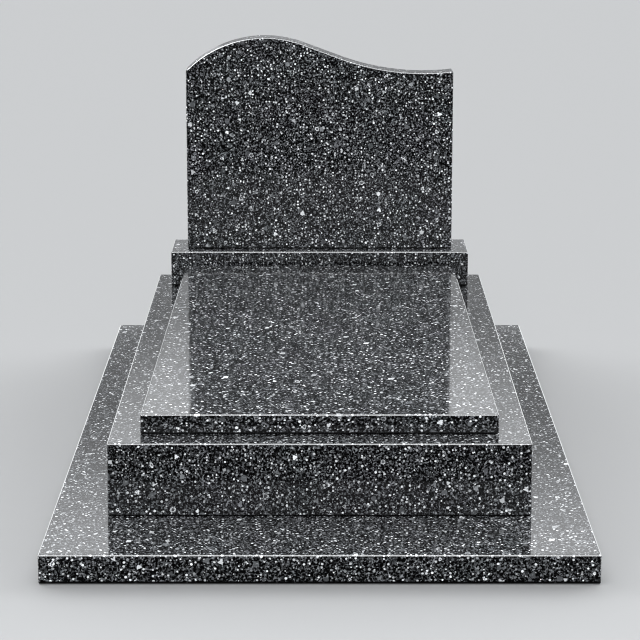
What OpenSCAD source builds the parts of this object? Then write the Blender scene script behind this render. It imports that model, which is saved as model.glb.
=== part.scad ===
// Single grave monument in polished granite: ground slab, tomb body, sloping
// ledger, headstone base and a headstone with an asymmetric wave top.
// Millimetres. Origin at the centre of the ground slab's underside, +Z up,
// the foot of the grave towards -Y and the headstone towards +Y.

/* [Ground slab] */
// Width of the ground slab, side to side
slab_w = 1266; // [1150:1:1500]
// Length of the ground slab, foot to head
slab_l = 2365; // [2340:1:2600]
// Thickness of the ground slab
slab_h = 70; // [50:1:120]

/* [Tomb body] */
// Width of the tomb body
body_w = 1000; // [930:1:1100]
// Length of the tomb body
body_l = 2000; // [2000:1:2030]
// Height of the tomb body
body_h = 177; // [120:1:300]
// Step from the slab's foot edge to the body's foot face
body_step = 297; // [200:1:300]
// Thickness of the body's foot and side walls
wall = 120; // [100:1:160]
// Thickness of the body's head wall, which carries the headstone base
head_wall = 250; // [240:1:320]

/* [Ledger] */
// Width of the ledger at the foot
ledger_w_foot = 853; // [820:1:880]
// Width of the ledger at the head
ledger_w_head = 814; // [780:1:850]
// Length of the ledger
ledger_l = 1698; // [1680:1:1710]
// Thickness of the ledger at the foot
ledger_t_foot = 48.5; // [35:0.5:65]
// Thickness of the ledger at the head
ledger_t_head = 71; // [60:0.5:90]
// Step from the body's foot face to the ledger's foot face
ledger_step = 85; // [70:1:95]

/* [Headstone base] */
// Width of the headstone base
base_w = 907; // [860:1:980]
// Depth of the headstone base, front to back
base_d = 208; // [190:1:220]
// Height of the headstone base
base_h = 107; // [80:1:160]
// Gap between the ledger's head edge and the base's front face
base_gap = 35; // [20:1:40]

/* [Headstone] */
// Width of the headstone
stone_w = 810; // [780:1:840]
// Thickness of the headstone
stone_t = 80; // [60:1:100]
// Step from the base's front face to the headstone's face
stone_step = 54; // [40:1:60]
// Height of the crest above the headstone's foot
crest_z = 647; // [640:1:760]
// Crest's distance from the centre line, towards the left
crest_x = 166; // [150:1:175]
// Radius of the crest
crest_r = 336; // [320:1:350]
// Height of the trough above the headstone's foot
trough_z = 540; // [530:1:545]
// Trough's distance from the centre line, towards the right
trough_x = 315; // [310:1:325]
// Radius of the trough
trough_r = 732; // [720:1:740]

/* [Finish] */
// Width of the cut along every arris
arris = 4; // [2:0.5:8]

/* [Hidden] */
$fn = 180;
eps = 1;
big = 3000;
// Heights at which the pieces rest on each other
body_z = slab_h;
ledger_z = body_z + body_h;
stone_z = ledger_z + base_h;
// Foot faces of the pieces
slab_y = -slab_l / 2;
body_y = slab_y + body_step;
ledger_y = body_y + ledger_step;
base_y = ledger_y + ledger_l + base_gap;
stone_y = base_y + stone_step;
// Centres of the crest's and the trough's arcs
crest_c = [-crest_x, crest_z - crest_r];
trough_c = [trough_x, trough_z + trough_r];
// Fall of the straight run that touches both arcs
arc_gap = trough_c - crest_c;
fall = asin((crest_r + trough_r) / norm(arc_gap)) - atan2(arc_gap[1], arc_gap[0]);
// Where the straight run leaves the crest, and where it meets the trough
run_a = crest_c + crest_r * [sin(fall), cos(fall)];
run_b = trough_c - trough_r * [sin(fall), cos(fall)];
// The top's height and slope over the two side faces
shoulder_l_z = crest_c[1] + sqrt(pow(crest_r, 2) - pow(stone_w / 2 - crest_x, 2));
shoulder_r_z = trough_c[1] - sqrt(pow(trough_r, 2) - pow(stone_w / 2 - trough_x, 2));
slope_l = asin((stone_w / 2 - crest_x) / crest_r);
slope_r = asin((stone_w / 2 - trough_x) / trough_r);

// Rectangle centred on the origin with its corners cut
module cut_rect(w, l, c)
  polygon([
    [-w / 2 + c, -l / 2], [w / 2 - c, -l / 2], [w / 2, -l / 2 + c], [w / 2, l / 2 - c],
    [w / 2 - c, l / 2], [-w / 2 + c, l / 2], [-w / 2, l / 2 - c], [-w / 2, -l / 2 + c]]);

// Block with all twelve arrises cut: centred in X, its front face at Y = 0
module dressed_block(w, l, h, c = arris)
  intersection() {
    translate([0, l / 2, -eps]) linear_extrude(h + 2 * eps) cut_rect(w, l, c);
    translate([0, l + eps, h / 2]) rotate([90, 0, 0]) linear_extrude(l + 2 * eps) cut_rect(w, h, c);
    translate([-w / 2 - eps, l / 2, h / 2]) rotate([90, 0, 90]) linear_extrude(w + 2 * eps) cut_rect(l, h, c);
  }

// Everything beyond the plane through p whose outward normal is n
module beyond(p, n)
  translate(p) rotate([0, acos(n[2] / norm(n)), atan2(n[1], n[0])])
    translate([-big, -big, 0]) cube([2 * big, 2 * big, big]);

module ground_slab()
  color("#4a4c4f") translate([0, slab_y, 0]) dressed_block(slab_w, slab_l, slab_h);

// Kerb frame under the ledger, open from top to bottom inside its walls
module tomb_body()
  color("#45474a") translate([0, body_y, body_z])
    difference() {
      dressed_block(body_w, body_l, body_h);
      translate([-body_w / 2 + wall, wall, -eps])
        cube([body_w - 2 * wall, body_l - wall - head_wall, body_h + 2 * eps]);
    }

// Cover slab, narrower and thicker towards the head
module ledger() {
  wf = ledger_w_foot / 2;
  wh = ledger_w_head / 2;
  c = arris;
  rise = ledger_t_head - ledger_t_foot;
  function w_at(y) = wf + (wh - wf) * y / ledger_l;
  function t_at(y) = ledger_t_foot + rise * y / ledger_l;
  color("#505255") translate([0, ledger_y, ledger_z])
    difference() {
      intersection() {
        // Plan
        translate([0, 0, -eps]) linear_extrude(ledger_t_head + 2 * eps)
          polygon([
            [-wf + c, 0], [wf - c, 0], [w_at(c), c], [w_at(ledger_l - c), ledger_l - c],
            [wh - c, ledger_l], [-wh + c, ledger_l], [-w_at(ledger_l - c), ledger_l - c], [-w_at(c), c]]);
        // Side profile
        translate([-wf - eps, 0, 0]) rotate([90, 0, 90]) linear_extrude(2 * wf + 2 * eps)
          polygon([
            [c, 0], [ledger_l - c, 0], [ledger_l, c], [ledger_l, ledger_t_head - c],
            [ledger_l - c, t_at(ledger_l - c)], [c, t_at(c)], [0, ledger_t_foot - c], [0, c]]);
      }
      // Arrises along the two sides, above and below
      for (side = [0, 1]) mirror([side, 0, 0]) {
        beyond([wf - c, 0, ledger_t_foot], [ledger_l, wf - wh - rise, ledger_l]);
        beyond([wf - c, 0, 0], [ledger_l, wf - wh, -ledger_l]);
      }
    }
}

module headstone_base()
  color("#45474a") translate([0, base_y, ledger_z]) dressed_block(base_w, base_d, base_h);

// Disc about a level axis along Y, its rim running past both faces of the
// stone: lean 1 cuts the rim inwards towards the faces, lean -1 flares it
module rim_disc(r, lean) {
  half = stone_t / 2;
  rotate([90, 0, 0]) rotate_extrude(angle = 360)
    polygon([
      [0, -half - eps], [r - lean * (arris + eps), -half - eps], [r, -half + arris],
      [r, half - arris], [r - lean * (arris + eps), half + eps], [0, half + eps]]);
}

// What the wave top leaves out above the crest, the straight run and the trough
module above_wave() {
  half = stone_t / 2;
  translate([0, half, 0]) {
    // Left of the straight run, outside the crest's disc
    difference() {
      translate([-big, -stone_t, crest_c[1]]) cube([big + run_a[0], 2 * stone_t, big]);
      translate([crest_c[0], 0, crest_c[1]]) rim_disc(crest_r, 1);
      beyond([run_a[0], 0, run_a[1]], [cos(fall), 0, -sin(fall)]);
    }
    // Over the straight run
    difference() {
      translate([run_a[0], 0, run_a[1]]) rotate([0, fall, 0])
        translate([-crest_r, 0, 0]) rotate([90, 0, 90])
          linear_extrude(crest_r + norm(run_b - run_a))
            polygon([
              [-half - eps, -arris - eps], [-half + arris, 0], [half - arris, 0],
              [half + eps, -arris - eps], [half + eps, crest_r], [-half - eps, crest_r]]);
    }
    // Inside the trough's disc
    translate([trough_c[0], 0, trough_c[1]]) rim_disc(trough_r, -1);
  }
}

module headstone()
  color("#404245") translate([0, stone_y, stone_z])
    difference() {
      dressed_block(stone_w, stone_t, crest_z + 40);
      above_wave();
    }

ground_slab();
tomb_body();
ledger();
headstone_base();
headstone();
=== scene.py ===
"""Looks for the granite grave monument: five stones rebuilt with softened, polished arrises around the
CAD frame, a procedural speckled granite cut through the solid, a pale studio floor and soft light.

Lengths are in metres. x runs across the grave, y from its foot to its head, z up."""
import math

import bmesh
import bpy
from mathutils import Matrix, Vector


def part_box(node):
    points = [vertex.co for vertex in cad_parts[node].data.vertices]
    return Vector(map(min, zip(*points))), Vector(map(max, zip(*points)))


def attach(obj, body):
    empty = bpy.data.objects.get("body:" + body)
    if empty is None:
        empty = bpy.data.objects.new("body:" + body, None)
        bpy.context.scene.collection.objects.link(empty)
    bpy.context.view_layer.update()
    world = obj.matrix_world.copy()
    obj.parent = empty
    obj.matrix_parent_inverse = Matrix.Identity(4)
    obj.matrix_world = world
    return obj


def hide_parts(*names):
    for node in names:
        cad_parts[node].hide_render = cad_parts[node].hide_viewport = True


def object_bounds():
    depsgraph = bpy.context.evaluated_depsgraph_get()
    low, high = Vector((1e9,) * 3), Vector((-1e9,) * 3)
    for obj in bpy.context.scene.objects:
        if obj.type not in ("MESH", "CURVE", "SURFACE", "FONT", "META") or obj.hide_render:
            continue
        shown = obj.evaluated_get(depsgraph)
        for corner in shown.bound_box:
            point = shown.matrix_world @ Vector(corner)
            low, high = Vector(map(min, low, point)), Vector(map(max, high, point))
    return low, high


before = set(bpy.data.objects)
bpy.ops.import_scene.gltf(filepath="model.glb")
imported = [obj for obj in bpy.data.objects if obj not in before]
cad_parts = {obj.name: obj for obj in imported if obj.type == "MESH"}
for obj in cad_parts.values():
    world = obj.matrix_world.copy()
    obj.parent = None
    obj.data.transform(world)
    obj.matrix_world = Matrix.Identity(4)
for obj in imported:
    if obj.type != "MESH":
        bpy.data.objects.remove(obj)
cad_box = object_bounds()
foot_y, head_y = Vector(cad_box[0]).y, Vector(cad_box[1]).y
scene = bpy.context.scene


# ---------------------------------------------------------------- stones
ARRIS = 0.0032  # width of the polished cut along every arris
SOFT = 0.0009  # how far the cut's own two edges are rubbed round
FOLD = math.radians(20)  # an edge that turns by more than this is an arris

# the ledger narrows and thickens towards the head
LEDGER_WIDTH = {"foot": 0.853, "head": 0.814}
LEDGER_THICKNESS = {"foot": 0.0485, "head": 0.071}

# the tomb body's walls
SIDE_WALL, FOOT_WALL, HEAD_WALL = 0.120, 0.120, 0.250

# the two arcs of the headstone's top: where each has its highest or lowest point, across and above the
# stone's foot, and its radius
CREST_X, CREST_Z, CREST_R = -0.166, 0.647, 0.336
TROUGH_X, TROUGH_Z, TROUGH_R = 0.315, 0.540, 0.732


def finish_mesh(bm, name, node):
    """Give the mesh an object and let it stand for its CAD node."""
    bmesh.ops.recalc_face_normals(bm, faces=bm.faces)
    mesh = bpy.data.meshes.new(name)
    bm.to_mesh(mesh)
    bm.free()
    piece = bpy.data.objects.new(name, mesh)
    scene.collection.objects.link(piece)
    for face in mesh.polygons:
        face.use_smooth = True
    weigh = piece.modifiers.new("weigh", "WEIGHTED_NORMAL")
    weigh.weight = 100  # the large faces decide, so they shade flat
    weigh.keep_sharp = True
    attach(piece, "root")
    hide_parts(node)
    return piece


def sharp(bm):
    """The edges that a mason would cut, not the ones inside a curve."""
    return [e for e in bm.edges if len(e.link_faces) == 2 and e.calc_face_angle(0) > FOLD]


def bevel(bm, edges, width, segments):
    bmesh.ops.bevel(bm, geom=edges, offset=width, offset_type="OFFSET", segments=segments, profile=0.5,
                    affect="EDGES", clamp_overlap=True)


def cut_arrises(bm, edges=None):
    """A flat 45 degree cut along the edges, then a small round on both edges of each cut."""
    bmesh.ops.recalc_face_normals(bm, faces=bm.faces)
    bevel(bm, edges or sharp(bm), ARRIS, segments=1)
    bevel(bm, sharp(bm), SOFT, segments=2)


def prism(outline, low, high, at):
    """Closed solid: a flat outline of (a, b) points, pulled from low to high; at(a, b, c) gives a point."""
    bm = bmesh.new()
    near = [bm.verts.new(at(a, b, low)) for a, b in outline]
    far = [bm.verts.new(at(a, b, high)) for a, b in outline]
    bm.faces.new(near)
    bm.faces.new(far)
    n = len(outline)
    for i in range(n):
        j = (i + 1) % n
        bm.faces.new((near[i], near[j], far[j], far[i]))
    return bm


def rectangle(low_x, low_y, high_x, high_y):
    """Its corners, in order round it."""
    return [(low_x, low_y), (high_x, low_y), (high_x, high_y), (low_x, high_y)]


def block(name, node):
    """A plain block: the ground slab and the headstone's base."""
    low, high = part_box(node)
    plan = rectangle(low.x, low.y, high.x, high.y)
    bm = prism(plan, low.z, high.z, lambda x, y, z: (x, y, z))
    cut_arrises(bm)
    return finish_mesh(bm, name, node)


def kerb_frame(name, node):
    """The tomb body: four walls round an open chamber that the ledger covers."""
    low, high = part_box(node)
    outer = rectangle(low.x, low.y, high.x, high.y)
    inner = rectangle(low.x + SIDE_WALL, low.y + FOOT_WALL, high.x - SIDE_WALL, high.y - HEAD_WALL)
    bm = bmesh.new()
    rings = [[bm.verts.new((x, y, z)) for x, y in ring] for z in (low.z, high.z) for ring in (outer, inner)]
    out_low, in_low, out_high, in_high = rings
    for i in range(4):
        j = (i + 1) % 4
        bm.faces.new((out_low[i], out_low[j], out_high[j], out_high[i]))
        bm.faces.new((in_low[j], in_low[i], in_high[i], in_high[j]))
        bm.faces.new((out_high[i], out_high[j], in_high[j], in_high[i]))
        bm.faces.new((out_low[j], out_low[i], in_low[i], in_low[j]))
    outside = set(out_low + out_high)
    cut_arrises(bm, [e for e in sharp(bm) if set(e.verts) <= outside])
    return finish_mesh(bm, name, node)


def ledger(name, node):
    """The cover slab: two end faces of their own size, joined by four long faces."""
    low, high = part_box(node)
    bm = bmesh.new()
    ends = []
    for end, y in (("foot", low.y), ("head", high.y)):
        width, thickness = LEDGER_WIDTH[end], LEDGER_THICKNESS[end]
        section = ((-1, 0), (1, 0), (1, thickness), (-1, thickness))
        ends.append([bm.verts.new((side * width / 2, y, low.z + up)) for side, up in section])
    foot, head = ends
    bm.faces.new(foot)
    bm.faces.new(head[::-1])
    for i in range(4):
        j = (i + 1) % 4
        bm.faces.new((foot[i], foot[j], head[j], head[i]))
    cut_arrises(bm)
    return finish_mesh(bm, name, node)


def arc(centre, radius, start, end, rise, steps=72):
    """Points along an arc, by the angle from the vertical; rise is 1 over the circle, -1 under it."""
    angles = [start + (end - start) * i / steps for i in range(steps + 1)]
    return [(centre[0] + radius * math.sin(a), centre[1] + rise * radius * math.cos(a)) for a in angles]


def headstone(name, node):
    """Upright stone whose top runs over a crest, down a straight fall and through a shallow trough."""
    low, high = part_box(node)
    half = (high.x - low.x) / 2
    crest = (CREST_X, CREST_Z - CREST_R)
    trough = (TROUGH_X, TROUGH_Z + TROUGH_R)
    # the straight fall touches both circles; this is its angle below the level
    across, up = trough[0] - crest[0], trough[1] - crest[1]
    fall = math.asin((CREST_R + TROUGH_R) / math.hypot(across, up)) - math.atan2(up, across)
    left = -math.asin((half + CREST_X) / CREST_R)
    right = math.asin((half - TROUGH_X) / TROUGH_R)
    top = arc(crest, CREST_R, left, fall, rise=1) + arc(trough, TROUGH_R, -fall, right, rise=-1)
    outline = [(half, 0.0), (-half, 0.0)] + top
    bm = prism(outline, low.y, high.y, lambda x, z, y: (x, y, low.z + z))
    cut_arrises(bm)
    return finish_mesh(bm, name, node)


stones = {
    "ground_slab": block("slab_stone", "ground_slab"),
    "tomb_body": kerb_frame("body_stone", "tomb_body"),
    "ledger": ledger("ledger_stone", "ledger"),
    "headstone_base": block("base_stone", "headstone_base"),
    "headstone": headstone("head_stone", "headstone"),
}


# ---------------------------------------------------------------- shader shorthand
class Graph:
    """Shorthand for a node tree. Values may be numbers, colours or other nodes' sockets."""

    def __init__(self, tree):
        self.tree = tree
        tree.nodes.clear()

    def node(self, kind, **values):
        n = self.tree.nodes.new(kind)
        for key, value in values.items():
            setattr(n, key, value)
        return n

    def put(self, socket, value):
        if isinstance(value, bpy.types.NodeSocket):
            self.tree.links.new(value, socket)
        else:
            socket.default_value = value

    def math(self, op, a, b=None, c=None):
        n = self.node("ShaderNodeMath", operation=op)
        for socket, value in zip(n.inputs, (a, b, c)):
            if value is not None:
                self.put(socket, value)
        return n.outputs[0]

    def vector(self, op, a, b=None, scale=None):
        n = self.node("ShaderNodeVectorMath", operation=op)
        self.put(n.inputs[0], a)
        if b is not None:
            self.put(n.inputs[1], b)
        if scale is not None:
            self.put(n.inputs["Scale"], scale)
        return n.outputs[0]

    def axes(self, vector):
        n = self.node("ShaderNodeSeparateXYZ")
        self.put(n.inputs[0], vector)
        return n.outputs

    def coordinates(self, kind):
        return self.node("ShaderNodeTexCoord").outputs[kind]

    def step(self, value, low, high, to_low=0.0, to_high=1.0):
        """Smooth step from to_low at value low to to_high at value high; low may be the larger."""
        n = self.node("ShaderNodeMapRange", interpolation_type="SMOOTHSTEP")
        names = ("Value", "From Min", "From Max", "To Min", "To Max")
        for socket, v in zip(names, (value, low, high, to_low, to_high)):
            self.put(n.inputs[socket], v)
        return n.outputs[0]

    def between(self, factor, a, b):
        """a where factor is 0, b where it is 1"""
        n = self.node("ShaderNodeMapRange")
        for socket, v in zip(("Value", "To Min", "To Max"), (factor, a, b)):
            self.put(n.inputs[socket], v)
        return n.outputs[0]

    def noise(self, place, size, detail=2.0):
        n = self.node("ShaderNodeTexNoise", noise_dimensions="3D")
        self.put(n.inputs["Vector"], place)
        self.put(n.inputs["Scale"], 1.0 / size)
        self.put(n.inputs["Detail"], detail)
        return n

    def cells(self, place, size, metric="EUCLIDEAN"):
        n = self.node("ShaderNodeTexVoronoi", voronoi_dimensions="3D", distance=metric)
        self.put(n.inputs["Vector"], place)
        self.put(n.inputs["Scale"], 1.0 / size)
        return n

    def mix(self, factor, a, b, blend="MIX"):
        """Colour a where factor is 0, b where it is 1."""
        n = self.node("ShaderNodeMix", data_type="RGBA", blend_type=blend)
        colour_a, colour_b, colour_out = n.inputs[6], n.inputs[7], n.outputs[2]
        self.put(n.inputs[0], factor)
        self.put(colour_a, a)
        self.put(colour_b, b)
        return colour_out

    def times(self, a, b):
        """Colour times colour."""
        return self.mix(1.0, a, b, "MULTIPLY")

    def random(self, cells, channel):
        """One of a cell's three random numbers."""
        n = self.node("ShaderNodeSeparateColor")
        self.put(n.inputs[0], cells.outputs["Color"])
        return n.outputs[channel]

    def lightness(self, cells, channel, least, spread, power):
        """A random lightness for each cell, least to least + spread; a higher power makes light ones rarer."""
        return self.math("MULTIPLY_ADD", self.math("POWER", self.random(cells, channel), power), spread, least)

    def outside(self, cells, channel, least, spread):
        """How far a point lies outside its cell's blob, which reaches least to least + spread, in cells."""
        reach = self.math("MULTIPLY_ADD", self.random(cells, channel), spread, least)
        return self.math("SUBTRACT", cells.outputs["Distance"], reach)


def grey(v, tint=(1.0, 1.0, 1.0)):
    return (v * tint[0], v * tint[1], v * tint[2], 1.0)


def material(name, shader):
    """A material of one shader. Gives the material, its graph and the shader's node."""
    mat = bpy.data.materials.new(name)
    mat.use_nodes = True
    g = Graph(mat.node_tree)
    skin = g.node(shader)
    g.put(g.node("ShaderNodeOutputMaterial").inputs["Surface"], skin.outputs[0])
    return mat, g, skin


# ---------------------------------------------------------------- granite
COOL = (0.965, 1.0, 1.05)  # the stone's own slightly blue grey
GREEN_CLOUD = (0.945, 1.005, 1.05)
BLUE_CLOUD = (0.975, 0.99, 1.065)
PALE_TINT = (0.985, 1.0, 1.02)  # the pale crystals are nearly neutral

# The pattern is turned, so that no face runs along the cells' own grid and meets only one kind of cell.
PATTERN_TURN = (0.7, 0.5, 1.1)

# Sizes of the cells that hold one crystal each.
GRAIN_CELL, MICA_CELL, FLECK_CELL, PATCH_CELL, CRYSTAL_CELL = 0.0031, 0.0061, 0.0079, 0.042, 0.036
CLOUD_SIZE = 0.11

# How each stone is cut and laid: how much longer its crystals lie along x, y and z; how high above its bed the
# painted shade along its foot reaches, a near black line standing in for the shadow where the stone sits; and
# how light the stone is made, set per stone to match how each is lit, so partly its own tone and partly
# painted light.
CUT = {
    "ground_slab": {"grain": (1.05, 1.35, 1.0), "painted_shade_height": 0.0090, "light": 1.08},
    "tomb_body": {"grain": (1.0, 1.25, 1.0), "painted_shade_height": 0.0048, "light": 0.93},
    "ledger": {"grain": (1.15, 1.5, 1.0), "painted_shade_height": 0.0060, "light": 0.96},
    "headstone_base": {"grain": (1.0, 1.1, 1.0), "painted_shade_height": 0.0080, "light": 0.96},
    "headstone": {"grain": (1.0, 1.0, 1.0), "painted_shade_height": 0.0040, "light": 1.03},
}
PAINTED_SHADE_EDGE = 0.001  # how softly the painted shade ends
PAINTED_SHADE_DARK = 0.02  # the share of the stone's own colour that is left in the painted shade

POLISH = 0.055  # roughness: close to a mirror
MICA_DULLER = 0.03  # what the mica adds to it
WAVE_SIZE = 0.02  # the polish is very slightly wavy at this size


def stone_place(g, shift, grain):
    """Where a point lies in the block of pattern that its stone is cut from."""
    place = g.node("ShaderNodeMapping", vector_type="POINT")
    g.put(place.inputs["Vector"], g.coordinates("Object"))
    place.inputs["Location"].default_value = shift
    place.inputs["Rotation"].default_value = PATTERN_TURN
    place.inputs["Scale"].default_value = [1.0 / stretch for stretch in grain]
    return place.outputs[0]


def crooked(g, here):
    """Wander a little, so that the crystals' borders are crooked."""
    wander = g.noise(here, size=0.005, detail=1.0).outputs["Color"]
    wander = g.vector("SUBTRACT", wander, (0.5, 0.5, 0.5))
    return g.vector("ADD", here, g.vector("SCALE", wander, scale=0.0016))


def add_mica(g, tone, bent):
    """Black mica dots. Also gives where they are, because their polish is duller."""
    mica = g.cells(bent, MICA_CELL)
    dark = g.step(g.outside(mica, 1, least=0.31, spread=0.30), 0.04, -0.04)
    return g.mix(dark, tone, grey(0.0005)), dark


def add_flecks(g, tone, bent):
    """Pale flecks: most of them dim, a few white."""
    flecks = g.cells(bent, FLECK_CELL)
    fleck = g.step(g.outside(flecks, 0, least=0.20, spread=0.20), 0.04, -0.04)
    bright = g.lightness(flecks, 1, least=0.04, spread=0.95, power=2.6)
    return g.mix(fleck, tone, g.times(grey(1.0), bright))


def add_quiet_patches(g, tone, bent):
    """Patches in two cells of three, where the grey is nearly even."""
    quiet = g.cells(bent, PATCH_CELL, metric="MANHATTAN")
    even = g.step(g.outside(quiet, 1, least=0.14, spread=0.16), 0.03, -0.03)
    even = g.math("MULTIPLY", even, g.step(g.random(quiet, 0), 0.32, 0.42, 0.0, 0.70))
    return g.mix(even, tone, g.mix(g.random(quiet, 2), grey(0.06), grey(0.17)))


def add_large_crystals(g, tone, here, bent):
    """Large pale ragged crystals, nearly half of them with a dark heart."""
    large = g.cells(bent, CRYSTAL_CELL, metric="MANHATTAN")
    ragged = g.noise(here, size=0.005, detail=1.0).outputs["Fac"]
    ragged = g.math("MULTIPLY_ADD", ragged, 0.30, -0.15)
    outside = g.math("ADD", g.outside(large, 0, least=0.11, spread=0.18), ragged)
    crystal = g.step(outside, 0.02, -0.02)
    heart = g.math("MULTIPLY", g.step(outside, -0.07, -0.10), g.step(g.random(large, 2), 0.5, 0.6))
    pale = g.lightness(large, 1, least=0.11, spread=0.95, power=1.15)
    pale = g.math("MULTIPLY", pale, g.math("SUBTRACT", 1.0, g.math("MULTIPLY", heart, 0.9)))
    return g.mix(g.math("MULTIPLY", crystal, 0.87), tone, g.times(grey(1.0), pale))


def cloud_tint(g, tone, here):
    """Faint clouds of greener and bluer stone, which leave the pale crystals alone."""
    cloud = g.noise(here, CLOUD_SIZE).outputs["Fac"]
    tint = g.mix(g.step(cloud, 0.52, 0.68), grey(1.0, COOL), grey(1.0, GREEN_CLOUD))
    tint = g.mix(g.step(cloud, 0.46, 0.34), tint, grey(1.0, BLUE_CLOUD))
    return g.mix(g.step(tone, 0.12, 0.45), tint, grey(1.0, PALE_TINT))


def granite(name, shift, bed, grain, painted_shade_height, light):
    """Polished dark granite, cut through the solid: a fine mosaic of black to grey grains, black mica, pale
    and white flecks, quiet patches, large pale crystals and faint clouds. shift gives each stone its own block
    of it, and bed is the height of the stone's underside; just above the bed the colour is painted near black,
    a painted shade for the shadow along the stone's foot."""
    mat, g, skin = material(name, "ShaderNodeBsdfPrincipled")
    here = stone_place(g, shift, grain)
    bent = crooked(g, here)

    tone = g.lightness(g.cells(bent, GRAIN_CELL), 0, least=0.001, spread=0.25, power=3.5)
    tone, mica = add_mica(g, tone, bent)
    tone = add_flecks(g, tone, bent)
    tone = add_quiet_patches(g, tone, bent)
    tone = add_large_crystals(g, tone, here, bent)
    colour = g.times(tone, cloud_tint(g, tone, here))
    # painted shade: the colour goes near black just above the bed, for the shadow along the stone's foot
    height = g.axes(g.coordinates("Object"))[2]
    # partly painted light: each stone's lightness from the table is set to match how that stone is lit, on top
    # of its own tone
    clear = g.step(height, bed + painted_shade_height - PAINTED_SHADE_EDGE, bed + painted_shade_height, PAINTED_SHADE_DARK, light)
    g.put(skin.inputs["Base Color"], g.times(colour, clear))

    g.put(skin.inputs["Roughness"], g.math("MULTIPLY_ADD", mica, MICA_DULLER, POLISH))
    skin.inputs["IOR"].default_value = 1.5
    bump = g.node("ShaderNodeBump")
    bump.inputs["Strength"].default_value = 0.03
    bump.inputs["Distance"].default_value = 0.001
    g.put(bump.inputs["Height"], g.noise(here, WAVE_SIZE).outputs["Fac"])
    g.put(skin.inputs["Normal"], bump.outputs[0])
    return mat


for i, (node, piece) in enumerate(stones.items()):
    own_block = (1.7 * i, 0.9 * i + 0.3, 2.3 * i)
    piece.data.materials.clear()
    piece.data.materials.append(granite("granite_" + node, own_block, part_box(node)[0].z, **CUT[node]))


# ---------------------------------------------------------------- camera
IMAGE_WIDTH = 640.0  # pixels
FOCAL_LENGTH = 2473.0  # pixels: a long lens
SENSOR = 36.0  # mm
EYE_BEFORE_FOOT = 5.298
EYE_HEIGHT = 1.786
LOOKS_DOWN = 12.524  # degrees

camera = bpy.data.objects.new("camera", bpy.data.cameras.new("camera"))
scene.collection.objects.link(camera)
camera.data.sensor_width = SENSOR
camera.data.lens = FOCAL_LENGTH * SENSOR / IMAGE_WIDTH
camera.data.shift_x = 0.0006
camera.data.shift_y = 0.0007
camera.data.clip_end = 200.0
camera.location = (0.0, foot_y - EYE_BEFORE_FOOT, EYE_HEIGHT)
camera.rotation_euler = (math.radians(90.0 - LOOKS_DOWN), 0.0, 0.0)
scene.camera = camera


# ---------------------------------------------------------------- studio
STUDIO = (0.98, 1.0, 1.022)  # the studio's slightly cool white
PAGE_GREY = 0.607  # what the camera would see past the floor
STRIP, LEFT_STRIP = 15.0, 42.0  # strength of the mirrored strip overhead, and at its left end
FLOOR_HALF = 60.0
CARD_BEHIND_HEAD = 1.6
CARD_HALF_WIDTH = 8.0
CARD_FOOT, CARD_TOP = 0.05, 4.0


def stage_plane(name, corners, material):
    mesh = bpy.data.meshes.new(name)
    mesh.from_pydata(corners, [], [(0, 1, 2, 3)])
    mesh.materials.append(material)
    ob = bpy.data.objects.new(name, mesh)
    scene.collection.objects.link(ob)
    return ob


def floor():
    """Pale matt floor. Reflections don't see it: the world gives them their own."""
    mat, _, skin = material("floor", "ShaderNodeBsdfDiffuse")
    skin.inputs["Color"].default_value = grey(0.33)
    plan = rectangle(-FLOOR_HALF, -FLOOR_HALF, FLOOR_HALF, FLOOR_HALF)
    ob = stage_plane("floor", [(x, y, 0) for x, y in plan], mat)
    ob.visible_glossy = False


def back_card():
    """A card behind the stones that only reflections see. It is light up to 0.4 m for the long arrises, dim
    above that, and bright again towards 1.5 m. Its middle, which only the tops of the headstone and its base
    see, is lighter than the rest low down and darker from 1 m up."""
    mat, g, glow = material("back_card", "ShaderNodeEmission")
    across, _, height = g.axes(g.coordinates("Object"))
    strength = g.math("ADD", g.step(height, 0.74, 1.46, 0.0, 1.16), g.step(height, 0.40, 0.45, 1.0, 0.34))
    middle = g.step(height, 0.80, 1.00, 1.6, 0.4)
    middle_edge = g.step(height, 0.80, 1.00, 0.57, 0.495)
    beside = g.step(g.math("SUBTRACT", g.math("ABSOLUTE", across), middle_edge), -0.012, 0.012)
    g.put(glow.inputs["Strength"], g.math("MULTIPLY", strength, g.between(beside, middle, 1.0)))
    glow.inputs["Color"].default_value = grey(1.0, STUDIO)
    face = rectangle(-CARD_HALF_WIDTH, CARD_FOOT, CARD_HALF_WIDTH, CARD_TOP)
    ob = stage_plane("back_card", [(x, head_y + CARD_BEHIND_HEAD, z) for x, z in face], mat)
    ob.visible_camera = ob.visible_diffuse = ob.visible_shadow = False
    ob.visible_transmission = ob.visible_volume_scatter = False


def stage_light(name, kind, place, energy):
    """A light that no reflection shows."""
    light = bpy.data.lights.new(name, kind)
    light.energy = energy
    light.color = STUDIO
    ob = bpy.data.objects.new(name, light)
    scene.collection.objects.link(ob)
    ob.location = place
    ob.visible_glossy = False
    return light, ob


def key_light(name, place, target, angle, energy):
    """A soft spot from the front that only the stones receive."""
    light, ob = stage_light(name, "SPOT", place, energy)
    light.spot_size = math.radians(angle)
    light.spot_blend = 0.7
    light.shadow_soft_size = 0.5
    ob.rotation_euler = (Vector(target) - ob.location).to_track_quat("-Z", "Y").to_euler()
    lit = bpy.data.collections.new("lit_by_" + name)
    for piece in stones.values():
        lit.objects.link(piece)
    ob.light_linking.receiver_collection = lit


def top_light():
    """A round softbox over the front of the grave."""
    light, _ = stage_light("softbox", "AREA", place=(0.0, -2.0, 2.7), energy=30.0)
    light.shape = "DISK"
    light.size = 1.8


def backdrop(w, strength):
    n = w.node("ShaderNodeBackground")
    n.inputs["Color"].default_value = grey(1.0, STUDIO)
    w.put(n.inputs["Strength"], strength)
    return n.outputs[0]


def either(w, factor, a, b):
    """Shader a where factor is 0, b where it is 1."""
    n = w.node("ShaderNodeMixShader")
    for socket, value in zip(n.inputs, (factor, a, b)):
        w.put(socket, value)
    return n.outputs[0]


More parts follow.
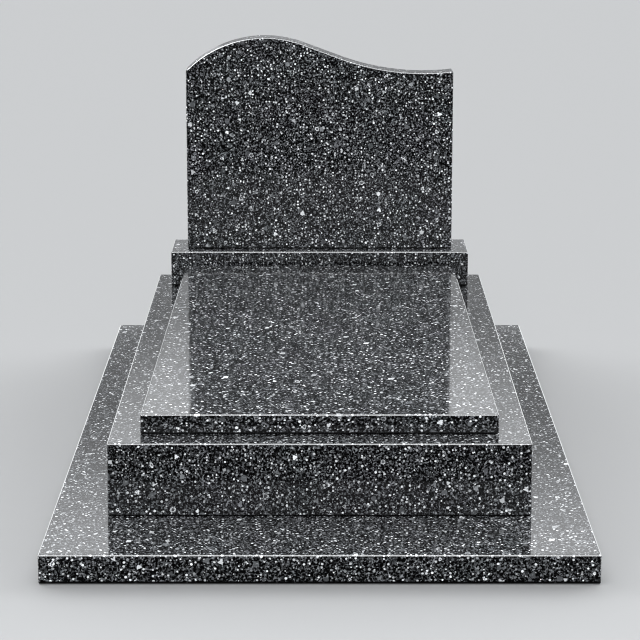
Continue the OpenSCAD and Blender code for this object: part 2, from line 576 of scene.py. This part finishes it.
def mirrored_studio(w, across, along, up):
    """What reflections find in each direction: walls that are dim at floor level, below the horizon a ground
    that is black in front and light behind, and a bright strip overhead, toward the camera, that the front
    arrises catch and that is brightest at the left."""
    behind = w.step(along, -0.3, 0.3)
    under = w.step(up, 0.02, -0.02)
    front = w.step(up, -0.1, 0.5, 0.2, 1.0)
    rear = w.step(up, 0.0, 0.3, 0.6, 1.3)
    walls = w.between(under, w.between(behind, front, rear), w.between(behind, 0.03, 1.8))
    strip = w.math("MULTIPLY", w.step(up, 0.40, 0.52), w.step(along, -0.01, -0.06))
    strip = w.math("MULTIPLY", strip, w.step(along, -0.60, -0.45))
    return w.between(strip, walls, w.step(across, -0.05, -0.60, STRIP, LEFT_STRIP))


def soft_light(w, along, up):
    """The light that the world gives: a broad band behind the stones, from the horizon up to 24 degrees and
    gone by 49, and a dim glow from the front."""
    from_rear = w.step(up, 0.75, 0.40, 1.5, 7.1)
    from_front = w.step(up, 0.5, 0.25, 0.6, 1.3)
    return w.between(w.step(along, -0.1, 0.4), from_front, from_rear)


def studio_world():
    """A plain pale grey to the camera, the mirrored studio to reflections, and soft light to the rest."""
    world = bpy.data.worlds.new("studio")
    world.use_nodes = True
    scene.world = world
    w = Graph(world.node_tree)
    ray = w.node("ShaderNodeLightPath")
    across, along, up = w.axes(w.coordinates("Generated"))
    gloss = backdrop(w, mirrored_studio(w, across, along, up))
    soft = backdrop(w, soft_light(w, along, up))
    seen = backdrop(w, PAGE_GREY)
    unseen = either(w, ray.outputs["Is Glossy Ray"], soft, gloss)
    w.put(w.node("ShaderNodeOutputWorld").inputs[0], either(w, ray.outputs["Is Camera Ray"], unseen, seen))


floor()
back_card()
key_light("key", place=(0.0, -4.5, 1.5), target=(0.0, 0.9, 0.68), angle=17, energy=290.0)
key_light("low_key", place=(0.0, -4.5, 0.3), target=(0.0, 0.0, 0.15), angle=40, energy=95.0)
top_light()
studio_world()

scene.view_settings.view_transform = "Standard"
scene.view_settings.look = "None"
scene.cycles.sample_clamp_indirect = 10.0
scene.cycles.filter_width = 1.1  # the photograph is as crisp as this
